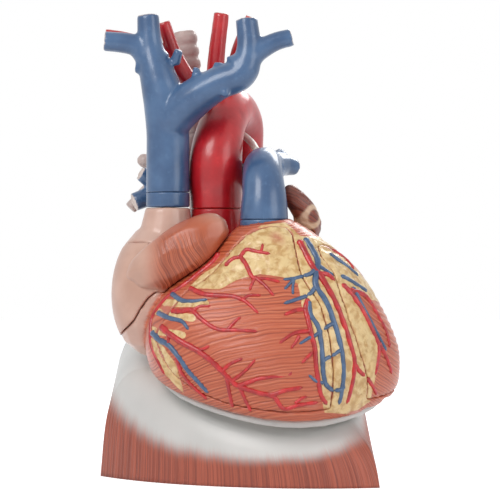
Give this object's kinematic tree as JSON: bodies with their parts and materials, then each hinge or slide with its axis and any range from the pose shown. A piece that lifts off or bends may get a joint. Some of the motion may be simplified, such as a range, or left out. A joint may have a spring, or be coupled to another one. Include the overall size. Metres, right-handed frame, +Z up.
{
  "type": "anatomical heart model",
  "caption": "Enlarged human heart on a diaphragm base that comes apart: lift-off vessels and airway, pull-off chamber walls, and pinned joints.",
  "frame": {"origin": "on the table under the middle of the base", "axes": "+Z up, -Y towards the front of the model, +X to the viewer's right"},
  "size_m": [0.2574, 0.2339, 0.4059],
  "materials": {
    "base_skin": "satin, painted",
    "plate": "satin",
    "steel": "satin",
    "myocardium": "satin, painted",
    "atrium": "satin, painted",
    "auricle": "satin, painted",
    "venous_blue": "satin, painted",
    "arterial_red": "satin, painted",
    "valve": "satin",
    "cartilage": "satin",
    "gullet": "satin"
  },
  "bodies": {
    "base": {"diaphragm_base": "base_skin", "base_plate": "plate", "base_plate_screws": "steel", "support_posts": "steel", "pericardial_dish": "plate", "oesophagus_pin": "steel"},
    "heart": {"heart_body": "myocardium", "dowel_bushes": "steel", "vena_cava_ring": "venous_blue", "aortic_root": "arterial_red", "pulmonary_root": "venous_blue", "tricuspid_valve": "valve", "mitral_valve": "valve", "aortic_valve": "valve", "pulmonary_valve": "valve", "tricuspid_chordae": "valve", "mitral_chordae": "valve", "inferior_vena_cava": "venous_blue", "pulmonary_veins": "arterial_red", "right_coronary_artery": "arterial_red", "left_coronary_artery": "arterial_red", "great_cardiac_vein": "venous_blue", "coronary_sinus": "venous_blue"},
    "right_ventricle": {"right_ventricle_wall": "myocardium", "right_ventricle_pins": "steel", "right_ventricle_arteries": "arterial_red", "right_ventricle_veins": "venous_blue"},
    "left_ventricle": {"left_ventricle_wall": "myocardium", "left_ventricle_pins": "steel", "left_ventricle_arteries": "arterial_red", "left_ventricle_veins": "venous_blue"},
    "right_atrium": {"right_atrium_wall": "atrium", "right_atrium_pins": "steel"},
    "left_atrium": {"left_atrium_wall": "auricle", "left_atrium_pins": "steel"},
    "vena_cava": {"superior_vena_cava": "venous_blue", "vena_cava_spigot": "venous_blue"},
    "pulmonary_artery": {"pulmonary_trunk": "venous_blue", "pulmonary_spigot": "venous_blue"},
    "aortic_arch": {"aorta": "arterial_red", "aortic_spigot": "arterial_red", "arterial_ligament": "valve"},
    "airway": {"trachea": "cartilage", "bronchi": "cartilage"},
    "gullet": {"oesophagus": "gullet"}
  },
  "joints": [
    {"name": "heart_lift", "type": "slide", "parent": "base", "child": "heart", "axis": [0, 0, 1], "range_m": [0, 0.05]},
    {"name": "gullet_lift", "type": "slide", "parent": "base", "child": "gullet", "axis": [0, 0, 1], "range_m": [0, 0.05]},
    {"name": "right_ventricle_wall_pull", "type": "slide", "parent": "heart", "child": "right_ventricle", "axis": [0.0797, -0.9966, 0.0199], "range_m": [0, 0.08]},
    {"name": "left_ventricle_wall_pull", "type": "slide", "parent": "heart", "child": "left_ventricle", "axis": [0.9938, -0.0497, 0.0994], "range_m": [0, 0.08]},
    {"name": "right_atrium_wall_pull", "type": "slide", "parent": "heart", "child": "right_atrium", "axis": [-0.7975, -0.5981, 0.0797], "range_m": [0, 0.08]},
    {"name": "left_atrium_wall_pull", "type": "slide", "parent": "heart", "child": "left_atrium", "axis": [0.995, 0.0995, 0], "range_m": [0, 0.08]},
    {"name": "vena_cava_lift", "type": "slide", "parent": "heart", "child": "vena_cava", "axis": [0, 0, 1], "range_m": [0, 0.04]},
    {"name": "pulmonary_artery_lift", "type": "slide", "parent": "heart", "child": "pulmonary_artery", "axis": [0, 0, 1], "range_m": [0, 0.025]},
    {"name": "aortic_arch_lift", "type": "slide", "parent": "pulmonary_artery", "child": "aortic_arch", "axis": [0, 0, 1], "range_m": [0, 0.025]},
    {"name": "airway_slide", "type": "slide", "parent": "pulmonary_artery", "child": "airway", "axis": [-1, 0, 0], "range_m": [0, 0.09]}
  ]
}
